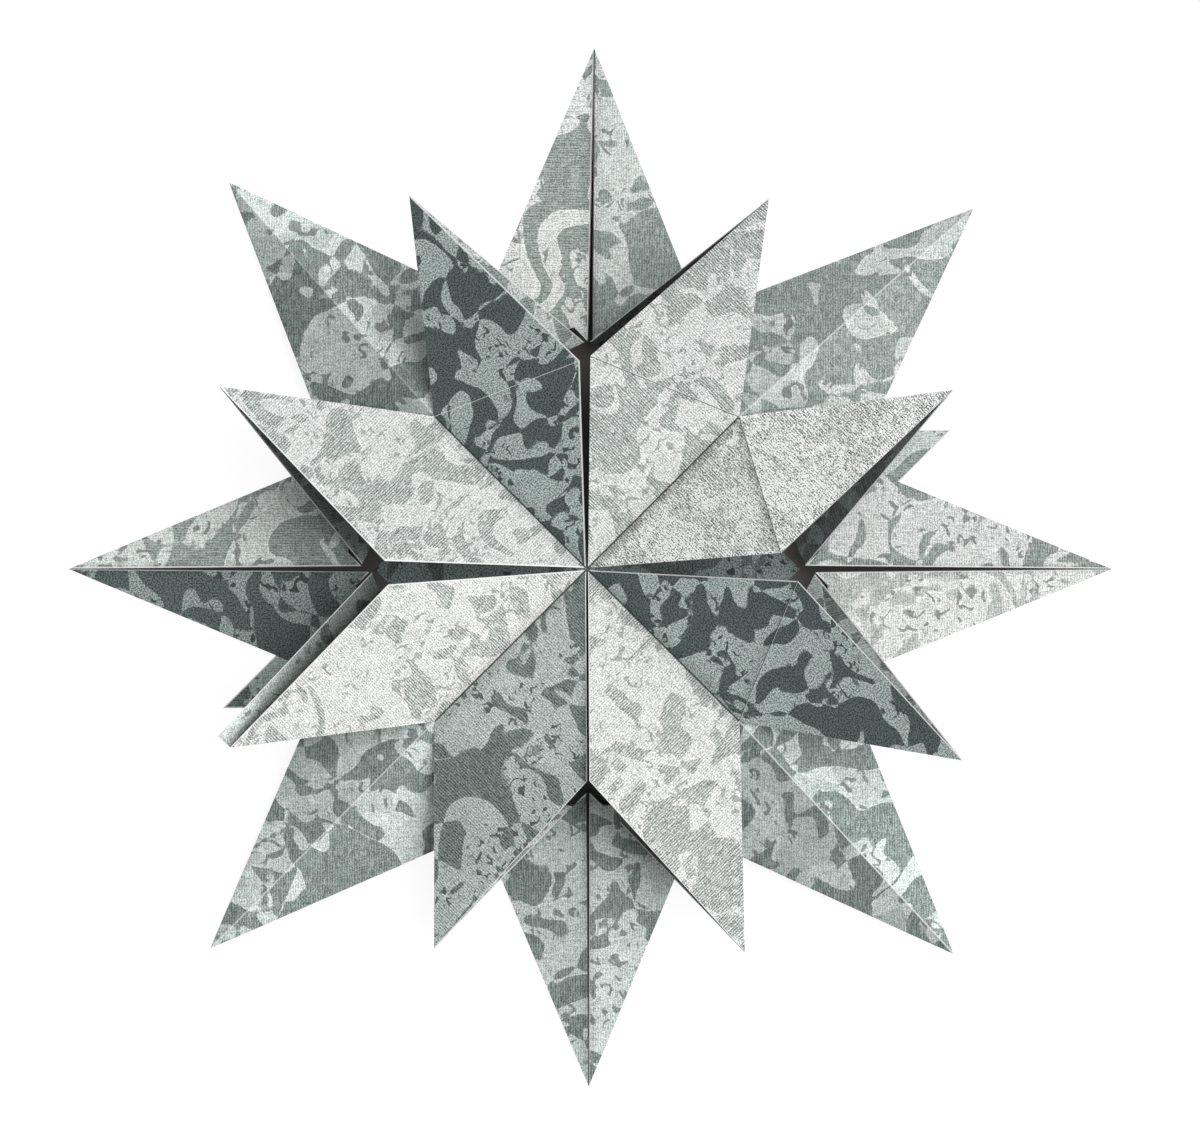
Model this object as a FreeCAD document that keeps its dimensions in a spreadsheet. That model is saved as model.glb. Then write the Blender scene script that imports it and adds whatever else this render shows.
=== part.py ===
import FreeCAD, Part
import math
import os
import Sketcher

# Sixteen-pointed star of folded square sheets, lying face up on its back.
#
# Frame: millimetres, origin at the middle of the star on the surface it lies on, +Z up,
# +X towards the east point and +Y towards the north point.
#
# Four kite-folded sheets lie flat as the straight points (north, east, south, west), and
# a plain square lies on their inner ends.  Four diagonal sheets lie over them.  Each is a
# ridged kite with two petals, and each petal is a pocket of two layers, hinged up along
# the valley that runs from the middle of the star to the foot of the ridge.
#
# Every sheet is one solid: flat facets of one paper thickness, measured upright, that
# share a wall along each fold.

COMMON = {
    # the folded sheets, the plain square in the middle, and how closely they lie on each other
    "sheet_edge": 66.0,
    "square_edge": 65.2,
    "paper": 0.2,
    "settle": 0.1,
    # straight points: width of the raw corner that is tucked under at 45 degrees
    "nip": 3.0,
    # diagonal points
    "ridge_rise": 4.4,
    "seam": 0.6,
    # petals, measured on the flat sheet
    "shoulder_width": 33.4,
    "petal_width": 34.7,
    "middle_gap": 0.35,
    # rear tabs of the east and west points
    "tab_reach": 79.0,
    "tab_side": 30.2,
    "tab_root": 52.0,
    # the petal edge that has curled up: width of one facet at its root and at its end, first
    # slope and turn from facet to facet, start beyond the shoulder and slant of its root
    "curl_root_chord": 2.2,
    "curl_end_chord": 1.75,
    "curl_start": 20.0,
    "curl_turn": 25.0,
    "curl_inset": 2.6,
    "curl_slant": 0.6,
}

# Straight points: heading in degrees, distance of the tip, width of the slit at its root,
# rise of the slit's edges, and distance of the left and right flap's corner at the slit.
STRAIGHT = {
    "east": {"heading": 0.0, "reach": 113.9, "slit": 1.3, "gape": 5.6, "left": 47.3, "right": 49.4},
    "north": {"heading": 89.2, "reach": 113.0, "slit": 0.9, "gape": 4.7, "left": 49.3, "right": 49.4},
    "west": {"heading": 180.0, "reach": 112.5, "slit": 1.1, "gape": 5.1, "left": 47.1, "right": 48.8},
    "south": {"heading": 270.2, "reach": 112.3, "slit": 0.5, "gape": 3.4, "left": 48.4, "right": 48.5},
}
TABBED = ("east", "west")

# Diagonal points: heading in degrees, distance of the kite's tip, and swing of the kite
# about the middle of the star.
DIAGONAL = {
    "northeast": {"heading": 45.0, "reach": 114.6, "swing": -2.0},
    "northwest": {"heading": 135.0, "reach": 114.3, "swing": -2.2},
    "southwest": {"heading": 225.0, "reach": 116.0, "swing": 0.2},
    "southeast": {"heading": 315.0, "reach": 115.3, "swing": -1.4},
}

# Petals, left and right of their valley as seen from the middle of the star.
# shoulder, reach: distance of the shoulder and of the tip along the valley
# root_lift, tip_lift: degrees by which the shoulder and the tip are hinged up
# pocket, beside: place of the lower layer's corner, along the straight point and off it
PETALS = {
    "northeast_left": {
        "shoulder": 33.1, "reach": 84.0, "root_lift": 16.3, "tip_lift": 34.3, "pocket": 49.3, "beside": 0.7,
    },
    "northeast_right": {
        "shoulder": 32.1, "reach": 82.9, "root_lift": 35.6, "tip_lift": 34.7, "pocket": 47.4, "beside": 0.7,
    },
    "northwest_left": {
        "shoulder": 32.1, "reach": 83.7, "root_lift": 27.4, "tip_lift": 35.6, "pocket": 48.8, "beside": 1.1,
    },
    "northwest_right": {
        "shoulder": 32.9, "reach": 84.0, "root_lift": 23.4, "tip_lift": 30.5, "pocket": 49.2, "beside": 0.6,
    },
    "southwest_left": {
        "shoulder": 32.4, "reach": 81.4, "root_lift": 13.5, "tip_lift": 2.0, "pocket": 52.4, "beside": 4.1,
    },
    "southwest_right": {
        "shoulder": 32.7, "reach": 81.5, "root_lift": 33.2, "tip_lift": 38.5, "pocket": 46.9, "beside": 1.1,
    },
    "southeast_left": {
        "shoulder": 34.1, "reach": 86.4, "root_lift": 24.6, "tip_lift": 36.0, "pocket": 49.4, "beside": 1.1,
    },
    "southeast_right": {
        "shoulder": 32.8, "reach": 82.7, "root_lift": 16.4, "tip_lift": 6.0, "pocket": 55.0, "beside": 7.1,
    },
}
SIDES = {"left": 1, "right": -1}
# the straight point that the open corner of each petal lies over
NEIGHBOUR = {
    "northeast_left": "north",
    "northeast_right": "east",
    "northwest_left": "west",
    "northwest_right": "north",
    "southwest_left": "south",
    "southwest_right": "west",
    "southeast_left": "east",
    "southeast_right": "south",
}
CURLED = "southwest_right"
CURL_ROWS = 3


def make_sheet(doc):
    """Spreadsheet of every driving value, each in a cell of its own with a word as alias."""
    sheet = doc.addObject("Spreadsheet::Sheet", "dims")
    rows = dict(COMMON)
    for group in (STRAIGHT, DIAGONAL, PETALS):
        for owner, values in group.items():
            for word, value in values.items():
                rows[owner + "_" + word] = value
    for row, (alias, value) in enumerate(rows.items(), start=1):
        sheet.set("A%d" % row, alias)
        sheet.set("B%d" % row, str(value))
        sheet.setAlias("B%d" % row, alias)
    doc.recompute()
    return sheet


def read(sheet, *words):
    """Value of the cell whose alias is made of the given words."""
    return float(getattr(sheet, "_".join(words)))


def ground_plane(body):
    """The body's own XY plane."""
    return [plane for plane in body.Origin.OriginFeatures if plane.Role == "XY_Plane"][0]


def new_body(doc, name, heading):
    """Body of one folded sheet, turned about +Z to its heading by the spreadsheet."""
    body = doc.addObject("PartDesign::Body", name)
    body.Label = name
    body.Placement = FreeCAD.Placement()
    if heading:
        body.setExpression("Placement.Rotation.Angle", "dims.%s * 1deg" % heading)
    return body


def facet_placement(corners):
    """Placement whose XY plane holds the facet, with X along its first edge."""
    along = (corners[1] - corners[0]).normalize()
    normal = (corners[1] - corners[0]).cross(corners[-1] - corners[0]).normalize()
    if normal.z < 0:
        normal = -normal
    rotation = FreeCAD.Rotation(along, normal.cross(along), normal, "XZY")
    return FreeCAD.Placement(corners[0], rotation)


def closed_outline(sketch, points):
    """Straight lines through the points and back to the first, joined end to end."""
    count = len(points)
    for index in range(count):
        sketch.addGeometry(Part.LineSegment(points[index], points[(index + 1) % count]))
    for index in range(count):
        sketch.addConstraint(Sketcher.Constraint("Coincident", index, 2, (index + 1) % count, 1))


def pad_paper(body, sketch, name):
    """One paper thickness, measured upright, so that facets share a wall at each fold."""
    pad = body.newObject("PartDesign::Pad", name)
    pad.Profile = sketch
    pad.UseCustomVector = True
    pad.Direction = FreeCAD.Vector(0, 0, 1)
    pad.AlongSketchNormal = False
    pad.Refine = False
    pad.setExpression("Length", "dims.paper")
    return pad


def facet(body, name, corners):
    """Flat facet of a folded sheet with the given lower corners, in the body's frame."""
    placement = facet_placement(corners)
    inward = placement.inverse()
    sketch = body.newObject("Sketcher::SketchObject", name + "_outline")
    sketch.AttachmentSupport = [(ground_plane(body), "")]
    sketch.MapMode = "FlatFace"
    sketch.AttachmentOffset = placement
    closed_outline(sketch, [inward.multVec(corner) for corner in corners])
    for edge in range(len(corners)):
        sketch.addConstraint(Sketcher.Constraint("Block", edge))
    return pad_paper(body, sketch, name)


def bound_outline(body, name, corners):
    """Sketch on the ground plane whose corners are placed by spreadsheet expressions.

    corners holds, for each corner, its present place and the expressions for X and Y.
    """
    sketch = body.newObject("Sketcher::SketchObject", name)
    sketch.AttachmentSupport = [(ground_plane(body), "")]
    sketch.MapMode = "FlatFace"
    closed_outline(sketch, [place for place, _, _ in corners])
    for index, (place, across, up) in enumerate(corners):
        for kind, value, words in (("DistanceX", place.x, across), ("DistanceY", place.y, up)):
            number = sketch.addConstraint(Sketcher.Constraint(kind, -1, 1, index, 1, value))
            sketch.setExpression("Constraints[%d]" % number, words)
    return sketch


def kite_points(sheet):
    """Fold corner and inner corner distances of a kite folded from the square."""
    edge = read(sheet, "sheet_edge")
    half_diagonal = edge / math.sqrt(2)
    return {
        "waist": half_diagonal,
        "half_width": edge * (math.sqrt(2) - 1),
        "tail": edge - half_diagonal,
    }


def centre_square(doc, sheet):
    """Plain square sheet on the inner ends of the straight points, corners on the axes."""
    body = new_body(doc, "centre_square", None)
    reach = read(sheet, "square_edge") / math.sqrt(2)
    half_diagonal = "dims.square_edge / sqrt(2)"
    corners = [
        (FreeCAD.Vector(reach, 0, 0), half_diagonal, "0"),
        (FreeCAD.Vector(0, reach, 0), "0", half_diagonal),
        (FreeCAD.Vector(-reach, 0, 0), "-" + half_diagonal, "0"),
        (FreeCAD.Vector(0, -reach, 0), "0", "-" + half_diagonal),
    ]
    sketch = bound_outline(body, "square_outline", corners)
    sketch.setExpression("AttachmentOffset.Base.z", "dims.paper")
    pad_paper(body, sketch, "square")
    return body


def on_plane(corners, along, across):
    """Point of the plane through three corners at the given X and Y."""
    normal = (corners[1] - corners[0]).cross(corners[2] - corners[0])
    run = (along - corners[0].x) * normal.x + (across - corners[0].y) * normal.y
    return FreeCAD.Vector(along, across, corners[0].z - run / normal.z)


def straight_point(doc, sheet, side):
    """Kite-folded square: a flat back and two flaps whose raw edges meet at a slit."""
    body = new_body(doc, "point_" + side, side + "_heading")
    kite = kite_points(sheet)
    waist = kite["waist"]
    width = kite["half_width"]
    tip = FreeCAD.Vector(read(sheet, side, "reach"), 0, 0)
    half_diagonal = "dims.sheet_edge / sqrt(2)"
    fold = "dims.sheet_edge * (sqrt(2) - 1)"
    corners = [
        (tip, "dims.%s_reach" % side, "0"),
        (FreeCAD.Vector(waist, width, 0), half_diagonal, fold),
        (FreeCAD.Vector(kite["tail"], 0, 0), "dims.sheet_edge - " + half_diagonal, "0"),
        (FreeCAD.Vector(waist, -width, 0), half_diagonal, "-" + fold),
    ]
    pad_paper(body, bound_outline(body, "kite_outline", corners), "back")
    nip = read(sheet, "nip")
    for word, sign in SIDES.items():
        fold_corner = FreeCAD.Vector(waist, sign * width, 0)
        beside = read(sheet, side, "slit") / 2
        raw_corner = FreeCAD.Vector(read(sheet, side, word), sign * beside, read(sheet, side, "gape"))
        flap = [tip, fold_corner, raw_corner]
        tuck = on_plane(flap, raw_corner.x + nip, sign * (beside + nip))
        facet(body, "flap_" + word, [tip, fold_corner, tuck, raw_corner])
    if side in TABBED:
        rear_tab(body, sheet, side, kite)
    return body


def rear_tab(body, sheet, side, kite):
    """Corner of the sheet that shows past the left fold of the kite, flat with its back."""
    reach = read(sheet, "tab_reach")
    rise = read(sheet, "tab_side")
    tip = read(sheet, side, "reach")
    slope = kite["half_width"] / (tip - kite["waist"])
    # the tab's edge runs at 45 degrees from its corner down to the kite's fold
    crossing = (reach - rise + slope * tip) / (1 + slope)
    corners = [
        FreeCAD.Vector(crossing, crossing - reach + rise, 0),
        FreeCAD.Vector(reach, rise, 0),
        FreeCAD.Vector(read(sheet, "tab_root"), rise, 0),
        FreeCAD.Vector(kite["waist"], kite["half_width"], 0),
    ]
    facet(body, "rear_tab", corners)


def turned(point, degrees):
    """The point turned about +Z."""
    return FreeCAD.Rotation(FreeCAD.Vector(0, 0, 1), degrees).multVec(point)


def ridged_kite(body, sheet, side, levels):
    """Back of a diagonal point: four facets that rise to the foot of the ridge, two flaps."""
    kite = kite_points(sheet)
    swing = read(sheet, side, "swing")
    foot = FreeCAD.Vector(kite["waist"], 0, levels["foot"])
    tip = turned(FreeCAD.Vector(read(sheet, side, "reach"), 0, 0), swing)
    tail = FreeCAD.Vector(kite["tail"], 0, levels["tail"])
    for word, sign in SIDES.items():
        corner = turned(FreeCAD.Vector(kite["waist"], sign * kite["half_width"], levels["fold"]), swing)
        seam = turned(FreeCAD.Vector(kite["waist"], sign * read(sheet, "seam") / 2, levels["fold"]), swing)
        facet(body, "face_" + word, [tip, corner, foot])
        facet(body, "inner_" + word, [foot, corner, tail])
        facet(body, "flap_" + word, [tip, corner, seam])


def petal(body, sheet, side, word, levels):
    """Petal: an upper layer creased from shoulder to foot, and a lower layer behind it."""
    name = side + "_" + word
    sign = SIDES[word]
    kite = kite_points(sheet)
    root_lift = math.radians(read(sheet, name, "root_lift"))
    tip_lift = math.radians(read(sheet, name, "tip_lift"))
    shoulder_width = read(sheet, "shoulder_width")
    petal_width = read(sheet, "petal_width")
    shoulder_reach = read(sheet, name, "shoulder")
    valley = levels["middle"] + (levels["foot"] - levels["middle"]) * shoulder_reach / kite["waist"]
    middle = FreeCAD.Vector(read(sheet, "middle_gap"), 0, levels["middle"])
    foot = FreeCAD.Vector(kite["waist"], 0, levels["foot"])
    shoulder = FreeCAD.Vector(
        shoulder_reach,
        sign * shoulder_width * math.cos(root_lift),
        valley + shoulder_width * math.sin(root_lift),
    )
    tip = FreeCAD.Vector(
        read(sheet, name, "reach"),
        sign * petal_width * math.cos(tip_lift),
        levels["foot"] + petal_width * math.sin(tip_lift),
    )
    facet(body, word + "_root", [middle, shoulder, foot])
    facet(body, word + "_tip", [foot, shoulder, tip])
    along = read(sheet, name, "pocket")
    beside = read(sheet, name, "beside")
    pocket_level = levels["pocket"] + read(sheet, NEIGHBOUR[name], "gape")
    pocket = FreeCAD.Vector(
        (along + beside) / math.sqrt(2),
        sign * (along - beside) / math.sqrt(2),
        pocket_level,
    )
    if name == CURLED:
        pocket = FreeCAD.Vector(shoulder.x, shoulder.y, pocket_level)
        pocket += (tip - pocket).normalize() * read(sheet, "curl_inset")
    facet(body, word + "_lower", [foot, pocket, tip])
    if name == CURLED:
        curled_edge(body, sheet, word, pocket, tip)


def curled_edge(body, sheet, word, root, end):
    """Strip of the lower layer beyond the petal, rolled upwards in narrow facets."""
    edge = end - root
    outward = FreeCAD.Vector(-edge.y, edge.x, 0).normalize()
    if outward.y * SIDES[word] < 0:
        outward = -outward
    for row in range(CURL_ROWS):
        angle = math.radians(read(sheet, "curl_start") + row * read(sheet, "curl_turn"))
        step = outward * math.cos(angle) + FreeCAD.Vector(0, 0, math.sin(angle))
        slant = (end - root).normalize() * read(sheet, "curl_slant")
        next_root = root + step * read(sheet, "curl_root_chord") - slant
        next_end = end + step * read(sheet, "curl_end_chord")
        facet(body, "curl_%d" % row, [root, end, next_end, next_root])
        root = next_root
        end = next_end


def stack_levels(sheet):
    """Heights of the folds of a diagonal sheet over the sheets that it lies on."""
    paper = read(sheet, "paper")
    settle = read(sheet, "settle")
    gape = max(read(sheet, side, "gape") for side in STRAIGHT)
    square_top = 2 * paper
    # the flaps beneath stand at two thirds of their gape where the fold corners cross them
    fold = gape * 2 / 3 + paper + settle
    return {
        "tail": square_top + settle,
        "middle": square_top + settle,
        "fold": fold,
        "foot": fold + read(sheet, "ridge_rise"),
        "pocket": paper + settle,
    }


def diagonal_point(doc, sheet, side):
    """Folded sheet of a diagonal point: a ridged kite that carries two petals."""
    body = new_body(doc, "point_" + side, side + "_heading")
    levels = stack_levels(sheet)
    ridged_kite(body, sheet, side, levels)
    for word in SIDES:
        petal(body, sheet, side, word, levels)
    return body


def check(doc, bodies):
    """Stops the script when a feature has failed or a sub-part isn't one valid solid."""
    for item in doc.Objects:
        if "Invalid" in item.State or "Error" in item.State:
            raise RuntimeError("%s failed: %s" % (item.Label, item.State))
    for body in bodies:
        shape = body.Shape
        if shape.isNull() or not shape.isValid() or len(shape.Solids) != 1:
            raise RuntimeError("%s isn't one valid solid" % body.Label)
        print("%-18s volume %8.1f mm3, %3d faces" % (body.Label, shape.Volume, len(shape.Faces)))


def main():
    """Builds the star and writes each folded sheet to parts/."""
    doc = FreeCAD.newDocument("paper_star")
    sheet = make_sheet(doc)
    bodies = [centre_square(doc, sheet)]
    bodies += [straight_point(doc, sheet, side) for side in STRAIGHT]
    bodies += [diagonal_point(doc, sheet, side) for side in DIAGONAL]
    doc.recompute()
    check(doc, bodies)
    os.makedirs("parts", exist_ok=True)
    for body in bodies:
        body.Shape.exportStep(os.path.join("parts", body.Label + ".step"))


main()
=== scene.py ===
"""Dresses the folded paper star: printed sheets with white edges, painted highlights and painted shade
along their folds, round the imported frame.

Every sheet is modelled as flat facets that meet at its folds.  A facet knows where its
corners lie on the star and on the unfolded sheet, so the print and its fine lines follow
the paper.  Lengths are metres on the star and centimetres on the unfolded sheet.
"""

import logging
import math
from dataclasses import dataclass, field, replace
from enum import Enum
from functools import partial, reduce
from typing import Mapping, Sequence

import bmesh
import bpy
from mathutils import Matrix, Vector, noise


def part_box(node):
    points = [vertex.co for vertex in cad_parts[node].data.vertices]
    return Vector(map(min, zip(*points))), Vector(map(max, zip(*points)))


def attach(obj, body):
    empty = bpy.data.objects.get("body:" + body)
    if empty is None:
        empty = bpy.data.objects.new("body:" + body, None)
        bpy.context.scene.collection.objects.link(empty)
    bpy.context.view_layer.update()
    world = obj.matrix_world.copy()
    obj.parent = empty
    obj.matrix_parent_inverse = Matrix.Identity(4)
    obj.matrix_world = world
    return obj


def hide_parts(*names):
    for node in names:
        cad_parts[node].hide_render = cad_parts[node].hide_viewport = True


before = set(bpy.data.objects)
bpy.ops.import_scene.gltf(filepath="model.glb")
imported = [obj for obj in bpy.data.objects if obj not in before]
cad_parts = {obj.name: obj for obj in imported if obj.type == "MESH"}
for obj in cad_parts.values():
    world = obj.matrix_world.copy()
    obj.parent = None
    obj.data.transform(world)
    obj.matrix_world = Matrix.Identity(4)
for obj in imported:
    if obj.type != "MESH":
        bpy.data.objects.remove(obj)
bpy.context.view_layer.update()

LOG = logging.getLogger("paper_star")

MM = 0.001
CM_PER_M = 100.0
BODY = "root"
SIDES = {"left": 1.0, "right": -1.0}
UP = Vector((0.0, 0.0, 1.0))
DOWN = Vector((0.0, 0.0, -1.0))

# distance from a fold line, in widths of the line, at which nothing of it shows
FAR = 999.0
# corners that lie closer than this are one corner, and a flatter fold is shaded as smooth
JOIN_DISTANCE = 0.02 * MM
SMOOTH_FOLD = math.radians(2.0)
# length of the slight waves in the petals' paper
RIPPLE_LENGTH = 21.0 * MM

# how far the lines along an edge reach into its facet: pale lines of white paper edge and painted
# highlight, dark lines of painted shade in valleys, creases and slits
LINE_WIDTHS = {
    "free_root": 0.30 * MM,
    "free_tip": 0.24 * MM,
    "crease_root": 0.17 * MM,
    "crease_tip": 0.10 * MM,
    "valley": 0.20 * MM,
    "ridge": 0.16 * MM,
    "tucked": 0.30 * MM,
    "tab": 0.25 * MM,
    "pocket": 0.20 * MM,
    "rolled": 0.35 * MM,
}
# edges of a petal's two upper facets, in the order of their corners
ROOT_EDGES = ("free_root", "crease_root", "valley")
TIP_EDGES = ("crease_tip", "free_tip", "hinge")

Colour = tuple[float, float, float]
Socket = bpy.types.NodeSocket

# near-black for the ink twigs and for the painted shade lines in valleys, creases and slits; bare paper
# white for cut edges and the painted highlights
INK_AND_SHADE: Colour = (0.028, 0.034, 0.033)
BARE_PAPER: Colour = (0.88, 0.89, 0.88)
# near-black that paints the shade inside slits and gaps and on the middle square's north and south
# quarters
SHADOW_BLACK: Colour = (0.14, 0.133, 0.13)


class Grain(Enum):
    """Fine structure of a printed surface.

    Attributes:
        lines: Contrast of the long fine lines.
        cross_lines: Contrast of the lines across them.
        specks: Contrast of the specks.
        hatching: Share of a blotch that is open between its lines.
        raggedness: How far the edge of a blotch wanders.
        evenness: How evenly the long fine lines are spaced.
        twigs: How black the ink twigs are.
    """

    ENGRAVED = (0.28, 0.18, 0.65, 0.8, 0.06, 0.6, 0.45)
    ETCHED = (0.36, 0.10, 0.75, 0.25, 0.03, 0.5, 0.8)
    WORN = (0.55, 0.14, 1.2, 0.7, 0.14, 0.4, 0.35)
    LINEN = (0.26, 0.20, 0.55, 0.28, 0.04, 0.4, 0.6)
    SPECKLED = (0.08, 0.06, 1.05, 0.0, 0.03, 0.2, 0.85)

    def __init__(self, *contrasts: float) -> None:
        """Gives the numbers of a grain their names.

        Args:
            *contrasts: The numbers, in the order of the attributes.
        """
        lines, cross_lines, specks, hatching, raggedness, evenness, twigs = contrasts
        self.lines = lines
        self.cross_lines = cross_lines
        self.specks = specks
        self.hatching = hatching
        self.raggedness = raggedness
        self.evenness = evenness
        self.twigs = twigs


class Tone(Enum):
    """Colours of the print, from palest to darkest.

    Attributes:
        ground: Colour of the open ground of the print.
        blotch: Colour of the blotches.
    """

    FAINT = ((0.80, 0.815, 0.80), (0.50, 0.53, 0.515))
    PALE = ((0.80, 0.815, 0.80), (0.29, 0.325, 0.31))
    LIGHT = ((0.74, 0.765, 0.75), (0.27, 0.31, 0.295))
    MEDIUM = ((0.60, 0.64, 0.62), (0.245, 0.285, 0.275))
    DEEP = ((0.52, 0.575, 0.555), (0.152, 0.188, 0.178))
    DARK = ((0.41, 0.485, 0.465), (0.098, 0.128, 0.122))
    # the last two are dark prints that also paint shade where they lie: the west point's lower flap, the
    # centre square and some of the petals' lower layers
    SHADED = ((0.30, 0.355, 0.34), (0.104, 0.132, 0.126))
    DUSK = ((0.17, 0.20, 0.195), (0.09, 0.105, 0.102))

    def __init__(self, ground: Colour, blotch: Colour) -> None:
        """Gives the two colours their names."""
        self.ground = ground
        self.blotch = blotch


class Graph:
    """Adds and links the shader nodes of a material or of the world."""

    def __init__(self, owner: bpy.types.Material | bpy.types.World) -> None:
        """Empties the owner's node tree.

        Args:
            owner: Material or world that gets the nodes.
        """
        owner.use_nodes = True
        self.owner = owner
        self.tree = owner.node_tree
        self.tree.nodes.clear()

    def add(
        self, kind: str, inputs: Mapping[str | int, object] | None = None, **settings: object
    ) -> bpy.types.Node:
        """Adds a node, sets its properties and fills its inputs.

        Args:
            kind: Type of the node.
            inputs: Output, number or vector for each input, by its name or number.
            **settings: Properties of the node.

        Returns:
            The new node.
        """
        node = self.tree.nodes.new(kind)
        for word, value in settings.items():
            setattr(node, word, value)
        for word, value in (inputs or {}).items():
            if isinstance(value, Socket):
                self.tree.links.new(value, node.inputs[word])
            else:
                node.inputs[word].default_value = value
        return node

    def math(self, operation: str, *values: object) -> Socket:
        """Scalar maths node."""
        return self.add("ShaderNodeMath", dict(enumerate(values)), operation=operation).outputs[0]

    def chain(self, operation: str, *values: object) -> Socket:
        """Works through several values with maths nodes, two at a time."""
        return reduce(partial(self.math, operation), values)

    def product(self, *values: object) -> Socket:
        """Product of several values."""
        return self.chain("MULTIPLY", *values)

    def total(self, *values: object) -> Socket:
        """Sum of several values."""
        return self.chain("ADD", *values)

    def inverse(self, value: object) -> Socket:
        """What is left of 1 without the value."""
        return self.math("SUBTRACT", 1.0, value)

    def centred(self, value: object) -> Socket:
        """A value between 0 and 1, moved to lie evenly about 0."""
        return self.math("SUBTRACT", value, 0.5)

    def step(self, value: object, edge: float, width: float) -> Socket:
        """0 below an edge and 1 above it, blended over a width."""
        inputs = {"Value": value, "From Min": edge - width / 2, "From Max": edge + width / 2}
        return self.add("ShaderNodeMapRange", inputs, interpolation_type="SMOOTHSTEP").outputs["Result"]

    def below(self, value: object, edge: float, width: float) -> Socket:
        """1 below an edge and 0 above it, blended over a width."""
        return self.inverse(self.step(value, edge, width))

    def noise(
        self,
        where: object,
        scale: float,
        detail: float = 0.0,
        roughness: float = 0.5,
        distortion: float = 0.0,
    ) -> Socket:
        """Value of a flat noise texture, which has finer octaves where detail is set."""
        inputs = dict(Vector=where, Scale=scale, Detail=detail, Roughness=roughness, Distortion=distortion)
        return self.add("ShaderNodeTexNoise", inputs, noise_dimensions="2D").outputs["Fac"]

    def placed(
        self,
        where: object,
        shift: Sequence[float] = (0.0, 0.0),
        turn: float = 0.0,
        scale: Sequence[float] = (1.0, 1.0),
    ) -> Socket:
        """Coordinates moved, turned by degrees and stretched."""
        change = dict(Location=(*shift, 0.0), Rotation=(0.0, 0.0, math.radians(turn)), Scale=(*scale, 1.0))
        return self.add("ShaderNodeMapping", {"Vector": where, **change}).outputs["Vector"]

    def blend(self, factor: object, first: object, second: object) -> Socket:
        """Mixes two colours."""
        pair = [value if isinstance(value, Socket) else (*value, 1.0) for value in (first, second)]
        return self.add("ShaderNodeMix", {0: factor, 6: pair[0], 7: pair[1]}, data_type="RGBA").outputs[2]

    def shaded(self, colour: object, shade: object) -> Socket:
        """The colour times a shade."""
        return self.add("ShaderNodeVectorMath", {0: colour, "Scale": shade}, operation="SCALE").outputs[0]

    def nearest_line(self, attribute: str) -> Socket:
        """Distance to the nearest fold line that an attribute holds, in widths of the line."""
        lines = self.add("ShaderNodeAttribute", attribute_name=attribute).outputs["Color"]
        return self.chain("MINIMUM", *self.add("ShaderNodeSeparateColor", {"Color": lines}).outputs)

    def paper(self, colour: object, roughness: float, height: Socket, depth: float) -> bpy.types.Material:
        """Ends the graph in a paper surface.

        Args:
            colour: Output with the colour.
            roughness: Roughness of the paper.
            height: Output with the relief.
            depth: Depth of the relief in metres.

        Returns:
            The finished material.
        """
        bump = self.add("ShaderNodeBump", {"Strength": 1.0, "Distance": depth, "Height": height})
        looks = {"Base Color": colour, "Roughness": roughness, "Specular IOR Level": 0.25}
        surface = self.add("ShaderNodeBsdfPrincipled", {**looks, "Normal": bump.outputs["Normal"]})
        self.add("ShaderNodeOutputMaterial", {"Surface": surface.outputs["BSDF"]})
        return self.owner


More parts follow.
